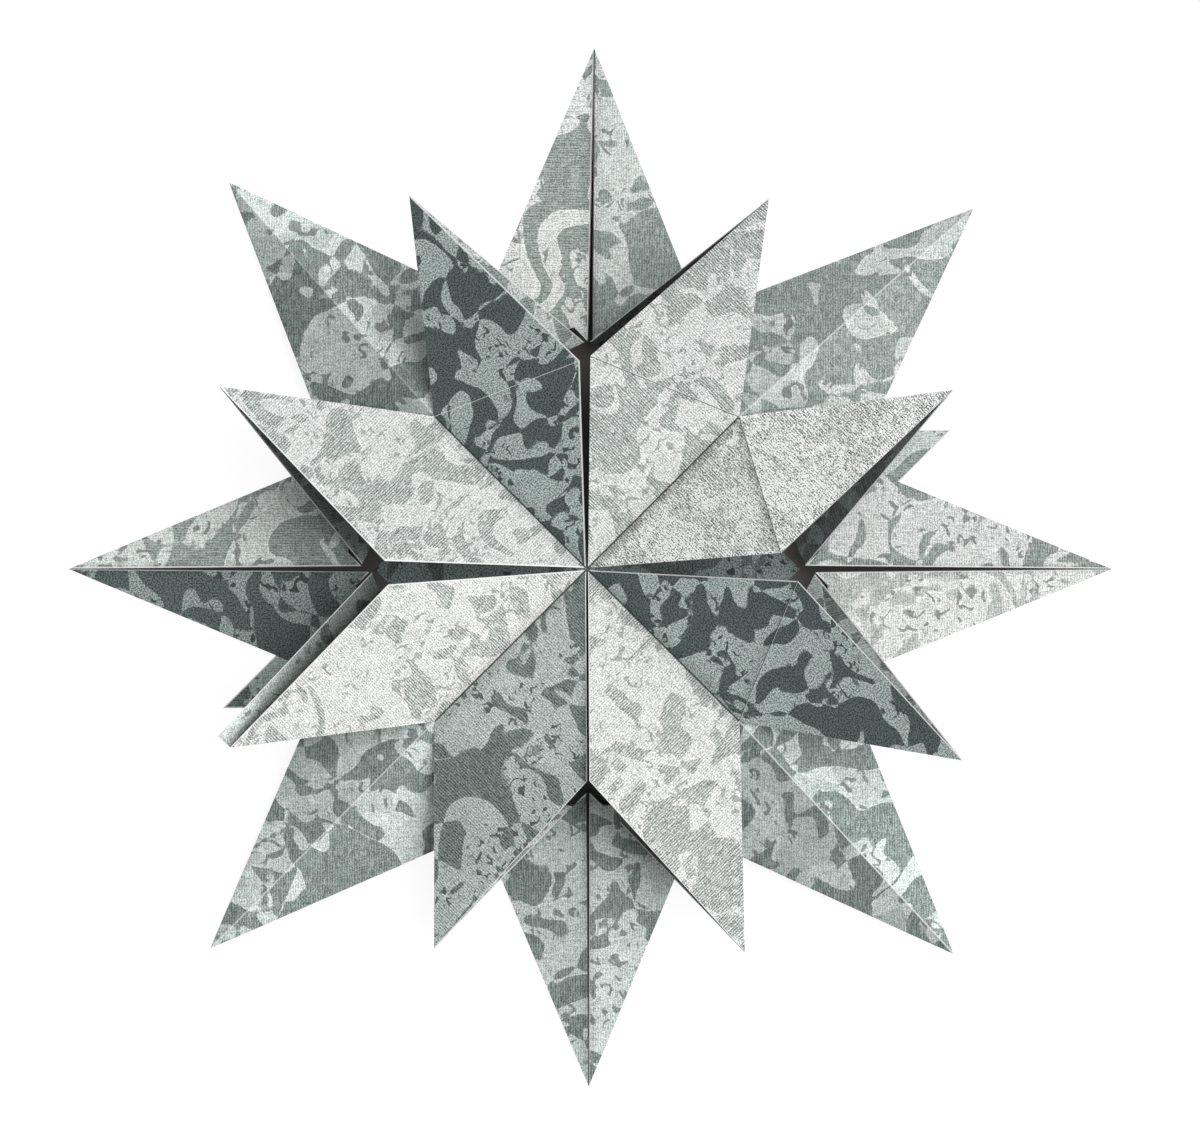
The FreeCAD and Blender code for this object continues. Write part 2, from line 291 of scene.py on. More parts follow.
@dataclass(frozen=True)
class PrintedPaper:
    """Uncoated paper with a mottled print: a ground, blotches, ink twigs and fine lines.

    Attributes:
        tone: Colours of the print.
        grain: Fine structure of the print.
        line_turn: Degrees by which the fine lines are turned on the sheet.
        shift: Which part of the endless print lies on the sheet, in centimetres.
        coverage: Height of the print's field above which it is a blotch; about half of
            the sheet is covered at 0.5, and less above it.
        strength: Brightness of the print against its tone.
        wear_and_highlight: How white the pale lines along edges and folds are: white paper edge and
            painted highlight.
        blotch_scale: How many blotches lie side by side in a centimetre.
        twig_scale: The same for the ink twigs.
        wash: How strongly a second, fainter layer of blotches tints the ground.
        soiling: How much painted shade darkens the paper beside its crease lines.
    """

    tone: Tone
    grain: Grain = Grain.LINEN
    line_turn: float = 0.0
    shift: tuple[float, float] = (0.0, 0.0)
    coverage: float = 0.53
    strength: float = 1.0
    wear_and_highlight: float = 0.9
    blotch_scale: float = 0.68
    twig_scale: float = 3.7
    wash: float = 0.0
    soiling: float = 0.22

    def height_field(self, graph: Graph, where: Socket) -> Socket:
        """Field of the print, above 0 in a blotch.

        Args:
            graph: Graph of the material.
            where: Coordinates on the sheet.

        Returns:
            The height of the field.
        """
        hills = graph.noise(where, self.blotch_scale, detail=1.5, roughness=0.4, distortion=0.75)
        ragged = graph.noise(graph.placed(where, (4.0, 6.0)), 6.5, detail=2.0, roughness=0.6)
        ragged = graph.product(graph.centred(ragged), self.grain.raggedness)
        return graph.math("SUBTRACT", graph.total(hills, ragged), self.coverage)

    def islands(self, graph: Graph, where: Socket, mask: Socket) -> Socket:
        """Turns the mask over in small islands, dark on the ground and pale in a blotch.

        Args:
            graph: Graph of the material.
            where: Coordinates on the sheet.
            mask: 1 in a blotch and 0 on the ground.

        Returns:
            The new mask.
        """
        spread = graph.placed(where, (3.1, 1.7), 35.0, (1.0, 0.65))
        island = graph.step(graph.noise(spread, 1.7, distortion=0.5), 0.655, 0.02)
        return graph.math("ABSOLUTE", graph.math("SUBTRACT", mask, island))

    def twigs(self, graph: Graph, where: Socket, mask: Socket) -> Socket:
        """Short ink twigs and dots that gather on the open ground.

        Args:
            graph: Graph of the material.
            where: Coordinates on the sheet.
            mask: 1 in a blotch and 0 on the ground.

        Returns:
            Mask of the twigs.
        """
        winding = graph.noise(where, self.twig_scale, detail=0.5, distortion=0.5)
        line = graph.below(graph.math("ABSOLUTE", graph.centred(winding)), 0.07, 0.03)
        gaps = graph.noise(graph.placed(where, (9.0, 4.0)), self.twig_scale * 1.4)
        crowds = graph.noise(graph.placed(where, (2.0, 8.0)), 0.8, detail=1.0)
        broken = graph.step(gaps, 0.55, 0.04)
        gathered = graph.step(crowds, 0.51, 0.05)
        return graph.product(line, broken, gathered, graph.inverse(mask))

    def fine_lines(self, graph: Graph, where: Socket) -> tuple[Socket, Socket]:
        """Long fine lines, broken and uneven, and the fainter lines across them.

        Args:
            graph: Graph of the material.
            where: Coordinates on the sheet.

        Returns:
            Outputs that are 0 in a line and 1 between lines.
        """
        grid = graph.placed(where, turn=self.line_turn)
        streaks = graph.noise(graph.placed(grid, scale=(18.0, 4.5)), 1.0, detail=1.0)
        waves = {"Vector": grid, "Scale": 5.9, "Distortion": 1.4, "Detail": 1.0, "Detail Scale": 1.6}
        wave = graph.add("ShaderNodeTexWave", waves, wave_type="BANDS", bands_direction="X")
        even = graph.product(graph.centred(wave.outputs["Fac"]), self.grain.evenness)
        lines = graph.step(graph.total(streaks, even), 0.5, 0.34)
        across = graph.noise(graph.placed(grid, (5.0, 0.0), 0.0, (4.0, 17.0)), 1.0, detail=1.0)
        return lines, graph.step(across, 0.5, 0.4)

    def inks(self, graph: Graph, where: Socket, mask: Socket, lines: Socket, specks: Socket) -> Socket:
        """Colours of the ground and of the blotches, which are open between their lines.

        Args:
            graph: Graph of the material.
            where: Coordinates on the sheet.
            mask: 1 in a blotch and 0 on the ground.
            lines: 0 in a fine line and 1 between lines.
            specks: 0 in a speck and 1 between specks.

        Returns:
            The colour.
        """
        open_lines = graph.total(graph.product(lines, 0.75), graph.product(specks, 0.25))
        hatched = graph.inverse(graph.product(open_lines, self.grain.hatching))
        stains = graph.placed(where, (7.0, 3.0))
        second = graph.noise(stains, self.blotch_scale * 0.8, detail=1.0, distortion=0.6)
        washed = graph.product(graph.step(second, 0.5, 0.02), self.wash)
        ground = graph.blend(washed, self.tone.ground, self.tone.blotch)
        return graph.blend(graph.product(mask, hatched), ground, self.tone.blotch)

    def build(self, name: str) -> bpy.types.Material:
        """Makes the material.

        Args:
            name: Name of the material.

        Returns:
            The material.
        """
        graph = Graph(bpy.data.materials.new(name))
        sheet = graph.add("ShaderNodeUVMap", uv_map="sheet").outputs["UV"]
        where = graph.placed(sheet, self.shift)
        height = self.height_field(graph, where)
        mask = self.islands(graph, where, graph.step(height, 0.0, 0.014))
        lines, across = self.fine_lines(graph, where)
        specks = graph.step(graph.noise(where, 29.0, detail=1.0, roughness=0.7), 0.5, 0.26)
        cloud = graph.noise(where, 2.2, detail=3.0, roughness=0.6)
        # the ground is a little paler round a blotch
        halo = graph.product(graph.step(height, -0.03, 0.02), graph.below(height, -0.006, 0.012), 0.08)
        shade = graph.total(
            1.0,
            graph.product(graph.centred(cloud), 0.3),
            graph.product(graph.centred(lines), self.grain.lines),
            graph.product(graph.centred(across), self.grain.cross_lines),
            graph.product(graph.centred(specks), self.grain.specks),
            halo,
        )
        crease = graph.nearest_line("dark_edges")
        # painted shade beside a crease, fading out within eighteen line widths of it
        crease_shade_factor = graph.total(1.0 - self.soiling, graph.product(graph.step(crease, 9.0, 18.0), self.soiling))
        # painted shade from the sheet's shade attribute, dark in the rolled strip under the petal
        painted_shade = graph.add("ShaderNodeAttribute", attribute_name="shade").outputs["Fac"]
        colour = self.inks(graph, where, mask, lines, specks)
        colour = graph.shaded(colour, graph.product(shade, crease_shade_factor, painted_shade, self.strength))
        twigs = graph.product(self.twigs(graph, where, mask), self.grain.twigs)
        colour = graph.blend(twigs, colour, INK_AND_SHADE)
        # pale lines along edges and folds: the white of the paper's cut edge, widened into a painted
        # highlight where an edge or fold catches the light
        worn_and_lit = graph.product(graph.below(graph.nearest_line("pale_edges"), 1.0, 0.5), self.wear_and_highlight)
        colour = graph.blend(worn_and_lit, colour, BARE_PAPER)
        # dark lines of painted shade in the valleys, creases and slits
        folded = graph.product(graph.below(crease, 1.0, 0.5), 0.9)
        colour = graph.blend(folded, colour, INK_AND_SHADE)
        relief = graph.total(lines, graph.product(specks, 0.5))
        return graph.paper(colour, 0.8, relief, 0.03 * MM)


@dataclass(frozen=True)
class PlainPaper:
    """Unprinted paper: a near-black inner side that paints the shade in slits and gaps, or a sheet's cut
    edge.

    Attributes:
        colour: Colour of the paper.
    """

    colour: Colour

    def build(self, name: str) -> bpy.types.Material:
        """Makes the material, with the faint mottle of paper fibre.

        Args:
            name: Name of the material.

        Returns:
            The material.
        """
        graph = Graph(bpy.data.materials.new(name))
        where = graph.add("ShaderNodeTexCoord").outputs["Object"]
        fibre = graph.noise(where, 3000.0, detail=2.0)
        shade = graph.total(graph.product(fibre, 0.3), 0.85)
        return graph.paper(graph.shaded(self.colour, shade), 0.85, fibre, 0.02 * MM)


@dataclass
class Facet:
    """Flat facet of a folded sheet.

    Attributes:
        corners: Places of the corners on the star, in metres.
        sheet: Places of the corners on the unfolded sheet, in metres.
        slot: Number of the material slot.
        facing: Direction that the outer side of the sheet looks to.
        pale: Width of the pale line along an edge, white paper edge and painted highlight, by the number
            of its first corner.
        dark: Width of the dark line of painted shade along an edge.
        shades: Brightness of the painted shade at each corner, where it is not the same all over.
    """

    corners: list[Vector]
    sheet: list[tuple[float, float]]
    slot: int
    facing: Vector = field(default_factory=UP.copy)
    pale: Mapping[int, float] = field(default_factory=dict)
    dark: Mapping[int, float] = field(default_factory=dict)
    shades: Sequence[float] = ()

    def distances(self, lines: Mapping[int, float], place: Vector) -> list[float]:
        """How far a corner is from the lines along the facet's edges, in widths of each line.

        Args:
            lines: Width of the line along each edge that has one.
            place: The corner that is measured.

        Returns:
            Three distances and an opaque alpha, far away where there are fewer lines.
        """
        found = []
        for edge, width in lines.items():
            start = self.corners[edge]
            along = (self.corners[(edge + 1) % len(self.corners)] - start).normalized()
            found.append((place - start).cross(along).length / width)
        found += [FAR] * (3 - len(found))
        return [*found, 1.0]


def add_object(name: str, data: bpy.types.ID) -> bpy.types.Object:
    """Makes an object at the origin and links it into the scene.

    Args:
        name: Name of the object.
        data: Its mesh, light or camera.

    Returns:
        The new object.
    """
    thing = bpy.data.objects.new(name, data)
    bpy.context.scene.collection.objects.link(thing)
    return thing


class FoldedSheet:
    """Mesh of one folded sheet, built from facets that share their corners."""

    def __init__(self, name: str) -> None:
        """Starts an empty sheet.

        Args:
            name: Name of the piece.
        """
        self.name = name
        self.mesh = bmesh.new()
        self.sheet = self.mesh.loops.layers.uv.new("sheet")
        self.pale = self.mesh.loops.layers.float_color.new("pale_edges")
        self.dark = self.mesh.loops.layers.float_color.new("dark_edges")
        self.shade = self.mesh.loops.layers.float_color.new("shade")

    def add(self, *facets: Facet) -> None:
        """Adds facets, each wound so that its outer side looks the way it says.

        Args:
            *facets: The facets.
        """
        for facet in facets:
            face = self.mesh.faces.new([self.mesh.verts.new(corner) for corner in facet.corners])
            face.material_index = facet.slot
            face.normal_update()
            shades = facet.shades or [1.0] * len(facet.corners)
            places = zip(face.loops, facet.corners, facet.sheet, shades)
            for loop, corner, (across, up), shade in places:
                loop[self.sheet].uv = (across * CM_PER_M, up * CM_PER_M)
                loop[self.pale] = facet.distances(facet.pale, corner)
                loop[self.dark] = facet.distances(facet.dark, corner)
                loop[self.shade] = (shade, shade, shade, 1.0)
            if face.normal.dot(facet.facing) < 0:
                face.normal_flip()

    def shape(self, heading: float, lift: float, cuts: int, ripple: float = 0.0) -> None:
        """Joins the facets at their folds, divides them, ripples the paper and turns the sheet.

        Args:
            heading: Heading of the sheet about +Z, in degrees.
            lift: Height by which the whole sheet is raised, in metres.
            cuts: Cuts across each edge.
            ripple: Largest height of the paper's ripple, in metres.
        """
        bmesh.ops.remove_doubles(self.mesh, verts=self.mesh.verts, dist=JOIN_DISTANCE)
        for edge in self.mesh.edges:
            edge.smooth = len(edge.link_faces) == 2 and edge.calc_face_angle(0.0) < SMOOTH_FOLD
        bmesh.ops.subdivide_edges(self.mesh, edges=self.mesh.edges[:], cuts=cuts, use_grid_fill=True)
        own_ripple = Vector((heading, 0.0, 3.0))
        for vert in self.mesh.verts:
            vert.co.z += lift + ripple * noise.noise(vert.co / RIPPLE_LENGTH + own_ripple)
        turn = Matrix.Rotation(math.radians(heading), 4, "Z")
        bmesh.ops.transform(self.mesh, matrix=turn, verts=self.mesh.verts)

    def dress(
        self,
        node: str,
        slot: str,
        materials: Sequence[bpy.types.Material],
        thickness: float,
        inner: int = 0,
        rim: int = 0,
    ) -> None:
        """Gives the sheet its thickness and finishes and hangs it on the star.

        Args:
            node: Node that it stands for.
            slot: Material slot of the record; not used.
            materials: Materials of the sheet's own slots.
            thickness: Thickness of the paper, in metres.
            inner: Slots from a facet's own one to that of its inner side.
            rim: Slots from a facet's own one to that of the cut edge.
        """
        data = bpy.data.meshes.new(self.name)
        self.mesh.to_mesh(data)
        self.mesh.free()
        for polygon in data.polygons:
            polygon.use_smooth = True
        for material in materials:
            data.materials.append(material)
        piece = add_object(self.name, data)
        wall = piece.modifiers.new("paper", "SOLIDIFY")
        wall.thickness = thickness
        wall.offset = 0.0
        wall.material_offset = inner
        wall.material_offset_rim = rim
        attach(piece, BODY)
        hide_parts(node)
        LOG.info("%s stands for %s", piece.name, node)


@dataclass(frozen=True)
class Plan:
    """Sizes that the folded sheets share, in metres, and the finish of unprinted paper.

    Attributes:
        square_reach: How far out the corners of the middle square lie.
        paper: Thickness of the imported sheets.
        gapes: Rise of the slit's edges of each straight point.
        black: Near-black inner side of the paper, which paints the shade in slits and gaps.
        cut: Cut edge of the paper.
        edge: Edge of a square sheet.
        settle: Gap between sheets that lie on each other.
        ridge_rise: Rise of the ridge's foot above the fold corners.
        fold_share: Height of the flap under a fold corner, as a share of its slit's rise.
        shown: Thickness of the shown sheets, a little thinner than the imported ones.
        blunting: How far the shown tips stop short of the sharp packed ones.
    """

    square_reach: float
    paper: float
    gapes: Mapping[str, float]
    black: bpy.types.Material
    cut: bpy.types.Material
    edge: float = 66.0 * MM
    settle: float = 0.1 * MM
    ridge_rise: float = 4.4 * MM
    fold_share: float = 2 / 3
    shown: float = 0.16 * MM
    blunting: float = 0.12 * MM

    @property
    def waist(self) -> float:
        """Half the diagonal: how far out the fold corners and the foot of the ridge lie."""
        return self.edge / math.sqrt(2)

    @property
    def half_width(self) -> float:
        """Half the width of the kite at its fold corners."""
        return self.edge * (math.sqrt(2) - 1)

    @property
    def tail(self) -> float:
        """How far out the inner corner lies."""
        return self.edge - self.waist

    @property
    def middle_rise(self) -> float:
        """Height of the diagonal sheets in the middle of the star."""
        return 2 * self.paper + self.settle

    @property
    def fold_rise(self) -> float:
        """Height of the fold corners of the diagonal sheets, on the flaps beneath them."""
        return max(self.gapes.values()) * self.fold_share + self.paper + self.settle

    @property
    def foot_rise(self) -> float:
        """Height of the foot of the ridge."""
        return self.fold_rise + self.ridge_rise


def turned(place: Vector, degrees: float) -> Vector:
    """The place turned about +Z."""
    return Matrix.Rotation(math.radians(degrees), 3, "Z") @ place


def flat(places: Sequence[Vector], across: float = 0.0) -> list[tuple[float, float]]:
    """The places seen from above, moved across to another part of the sheet."""
    return [(place.x, place.y + across) for place in places]


def on_plane(corners: Sequence[Vector], along: float, across: float) -> Vector:
    """Finds a point of the plane through three corners.

    Args:
        corners: The corners.
        along: Where the point lies along X.
        across: Where it lies along Y.

    Returns:
        The point.
    """
    normal = (corners[1] - corners[0]).cross(corners[2] - corners[0])
    run = (along - corners[0].x) * normal.x + (across - corners[0].y) * normal.y
    return Vector((along, across, corners[0].z - run / normal.z))


def line_widths(edges: Sequence[str], chosen: Sequence[str], scale: float = 1.0) -> dict[int, float]:
    """Width of the line along each of a facet's edges that is chosen.

    Args:
        edges: Names of the facet's edges, in order.
        chosen: Names of the edges that have a line.
        scale: Width of the lines against their usual width.

    Returns:
        Widths in metres, by the number of the edge.
    """
    return {number: LINE_WIDTHS[edge] * scale for number, edge in enumerate(edges) if edge in chosen}


@dataclass
class Flap:
    """Flap of a straight point.

    Attributes:
        raw: Distance of the flap's corner at the root of the slit.
        finish: Its print.
        worn_and_lit: Width of the pale line along the slit, white paper edge and painted highlight, 0
            where there is none.
        slit_shadow: Width of the dark line at the slit itself, painted shadow of the gap.
    """

    raw: float
    finish: PrintedPaper
    worn_and_lit: float = 0.3 * MM
    slit_shadow: float = 0.1 * MM


@dataclass
class StraightPoint:
    """Kite-folded square: a flat back and two flaps whose raw edges meet at a slit.

    Attributes:
        plan: Sizes that the sheets share.
        side: Where on the star the point is.
        heading: Degrees from +X to the point.
        reach: Distance of the tip.
        slit: Width of the slit at its root.
        left: Flap on the left, as seen from the middle of the star.
        right: Flap on the right.
        shift: Which part of the endless print lies on the sheet, in centimetres.
        tab_tone: Colours of the corner of the sheet that shows past the left fold, if any.
        nip: Width of the raw corner that is tucked under.
        tab_reach: Distance of that sheet corner along the point.
        tab_side: Distance of that corner beside the point.
        tab_root: Distance along the point at which the tab goes under the kite.
        twig_scale: How many ink twigs lie side by side in a centimetre.
        cuts: Cuts across each edge of a facet.
    """

    plan: Plan
    side: str
    heading: float
    reach: float
    slit: float
    left: Flap
    right: Flap
    shift: tuple[float, float]
    tab_tone: Tone | None = None
    nip: float = 3.0 * MM
    tab_reach: float = 79.0 * MM
    tab_side: float = 30.2 * MM
    tab_root: float = 52.0 * MM
    twig_scale: float = 2.8
    cuts: int = 9

    @property
    def tip(self) -> Vector:
        """Tip of the point."""
        return Vector((self.reach - self.plan.blunting, 0.0, 0.0))

    def fold_corner(self, sign: float) -> Vector:
        """Outer corner of the kite on one side."""
        return Vector((self.plan.waist, sign * self.plan.half_width, 0.0))

    def flap(self, flap: Flap, sign: float, slot: int) -> list[Facet]:
        """Flap from the fold to the slit, printed side up, and the turn of the fold itself.

        Args:
            flap: The flap.
            sign: Which side of the slit it is on.
            slot: Number of its material slot.

        Returns:
            The flap, with its raw corner tucked under, and the narrow turn of the fold.
        """
        beside = self.slit / 2
        fold = [self.tip, self.fold_corner(sign)]
        raised = [corner + UP * self.plan.paper for corner in fold]
        raw_corner = Vector((flap.raw, sign * beside, self.plan.gapes[self.side]))
        tuck = on_plane([*raised, raw_corner], flap.raw + self.nip, sign * (beside + self.nip))
        corners = [*raised, tuck, raw_corner]
        # the third edge is where the corner is tucked under, and the fourth lies at the slit, with a dark
        # line that paints the gap's shadow
        widths = {2: LINE_WIDTHS["tucked"], 3: flap.worn_and_lit}
        worn_and_lit = {edge: width for edge, width in widths.items() if width > 0}
        shift = sign * self.plan.edge
        turn = [*fold, raised[1], raised[0]]
        return [
            Facet(corners, flat(corners, shift), slot, pale=worn_and_lit, dark={3: flap.slit_shadow}),
            Facet(turn, flat(turn, shift), slot, facing=Vector((0.0, sign, 0.0))),
        ]

    def back(self, slot: int) -> list[Facet]:
        """Back of the kite, with its inner side up, near-black as painted shade.

        Args:
            slot: Number of its material slot.

        Returns:
            The two halves of the back.
        """
        tail = Vector((self.plan.tail, 0.0, 0.0))
        halves = [[self.tip, self.fold_corner(sign), tail] for sign in SIDES.values()]
        return [Facet(corners, flat(corners), slot, facing=DOWN) for corners in halves]

    def tab(self) -> FoldedSheet:
        """Corner of the sheet that shows past the left fold of the kite.

        Returns:
            The shaped corner.
        """
        slope = self.plan.half_width / (self.reach - self.plan.waist)
        crossing = (self.tab_reach - self.tab_side + slope * self.reach) / (1 + slope)
        corners = [
            Vector((crossing, crossing - self.tab_reach + self.tab_side, 0.0)),
            Vector((self.tab_reach, self.tab_side, 0.0)),
            Vector((self.tab_root, self.tab_side, 0.0)),
            self.fold_corner(1.0),
        ]
        tab = FoldedSheet("tab_" + self.side)
        worn_and_lit = {0: LINE_WIDTHS["tab"], 1: LINE_WIDTHS["tab"]}
        tab.add(Facet(corners, flat(corners), 0, pale=worn_and_lit))
        tab.shape(self.heading, self.plan.paper / 2, cuts=4)
        return tab

    def build(self) -> None:
        """Builds the point and its tab and dresses them."""
        node = "point_" + self.side
        sheet = FoldedSheet("straight_" + node)
        prints = []
        for slot, (word, flap) in enumerate((("left", self.left), ("right", self.right))):
            sheet.add(*self.flap(flap, SIDES[word], slot))
            finish = replace(flap.finish, shift=self.shift, twig_scale=self.twig_scale)
            prints.append(finish.build("print_%s_%s" % (self.side, word)))
        sheet.add(*self.back(slot=2))
        sheet.shape(self.heading, self.plan.paper / 2, self.cuts)
        cut = self.plan.cut
        # outer sides of both flaps and the back, then their inner sides in near-black painted shade, then
        # their cut edges
        materials = [*prints, prints[0], *[self.plan.black] * 3, *[cut] * 3]
        sheet.dress(node, "point_paper", materials, self.plan.shown, inner=3, rim=6)
        if self.tab_tone is not None:
            finish = PrintedPaper(self.tab_tone, line_turn=90.0, shift=self.shift)
            materials = [finish.build("print_%s_tab" % self.side), cut]
            self.tab().dress(node, "point_paper", materials, self.plan.shown, rim=1)


@dataclass(frozen=True)
class Curl:
    """Strip of a petal's lower layer that sticks out past the petal and has rolled upwards.

    Attributes:
        inset: Distance of its root from the shoulder.
        root_chord: Width of the strip at its root, along its curve.
        end_chord: The same at its end.
        slant: How far its outer edge starts back of its root.
        start: Slope in degrees at which the roll starts.
        turn: Degrees through which it rolls.
        rows: Facets across it.
        ends: Brightness of its painted shade at the root and at the end.
        edges: Brightness of its painted shade in the roll and at the free edge.
    """

    inset: float = 2.6 * MM
    root_chord: float = 6.6 * MM
    end_chord: float = 5.25 * MM
    slant: float = 1.8 * MM
    start: float = 7.5
    turn: float = 75.0
    rows: int = 9
    ends: tuple[float, float] = (0.38, 1.1)
    edges: tuple[float, float] = (0.14, 1.2)

    def shade(self, row: int, end: int) -> float:
        """Painted shade of the strip: dark in the roll, where the petal shades it, and at its root.

        Args:
            row: Number of rows outwards.
            end: 0 at the root of the strip and 1 at its end.

        Returns:
            The brightness.
        """
        inner, outer = self.edges
        return self.ends[end] * (inner + (outer - inner) * row / self.rows)

    def facets(
        self, root: Vector, end: Vector, sign: float, across: float, slot: int
    ) -> list[Facet]:
        """Facets of the strip.

        Args:
            root: Start of the strip's inner edge, near the shoulder.
            end: End of its inner edge, at the tip.
            sign: Which side of the valley the petal is on.
            across: Where the strip lies on the unfolded sheet.
            slot: Number of the material slot.

        Returns:
            A facet for each row, from the petal outwards.
        """
        edge = end - root
        outward = Vector((-edge.y, edge.x, 0.0)).normalized()
        if outward.y * sign < 0:
            outward = -outward
        facets = []
        for row in range(self.rows):
            angle = math.radians(self.start + self.turn * (row + 0.5) / self.rows)
            step = outward * math.cos(angle) + UP * math.sin(angle)
            slant = (end - root).normalized() * (self.slant / self.rows)
            next_root = root + step * (self.root_chord / self.rows) - slant
            next_end = end + step * (self.end_chord / self.rows)
            corners = [root, end, next_end, next_root]
            sheet = flat(corners, across)
            worn_and_lit = {2: LINE_WIDTHS["rolled"]} if row == self.rows - 1 else {}
            places = ((row, 0), (row, 1), (row + 1, 1), (row + 1, 0))
            shades = [self.shade(*place) for place in places]
            facets.append(Facet(corners, sheet, slot, facing=DOWN, pale=worn_and_lit, shades=shades))
            root = next_root
            end = next_end
        return facets


@dataclass
class Petal:
    """Petal of a diagonal point: an upper layer creased once, and a lower layer behind it.

    Attributes:
        neighbour: Straight point that its open corner lies over.
        shoulder: Distance of the shoulder along the valley.
        reach: Distance of the tip along the valley.
        root_lift: Degrees by which the shoulder is hinged up.
        tip_lift: Degrees by which the tip is hinged up.
        pocket: Distance of the lower layer's open corner along the straight point.
        beside: Distance of that corner beside the straight point.
        upper: Print of the upper layer.
        lower: Print of the lower layer.
        pale: Names of the edges with a pale line of white paper edge and painted highlight.
        dark: Names of the edges with a dark line of painted shade.
        line_scale: Width of the worn lines against their usual width.
        curl: Roll of the lower layer's free edge, where it has one.
    """

    neighbour: str
    shoulder: float
    reach: float
    root_lift: float
    tip_lift: float
    pocket: float
    beside: float
    upper: PrintedPaper
    lower: PrintedPaper
    pale: tuple[str, ...] = ("free_root", "free_tip")
    dark: tuple[str, ...] = ("valley",)
    line_scale: float = 1.0
    curl: Curl | None = None


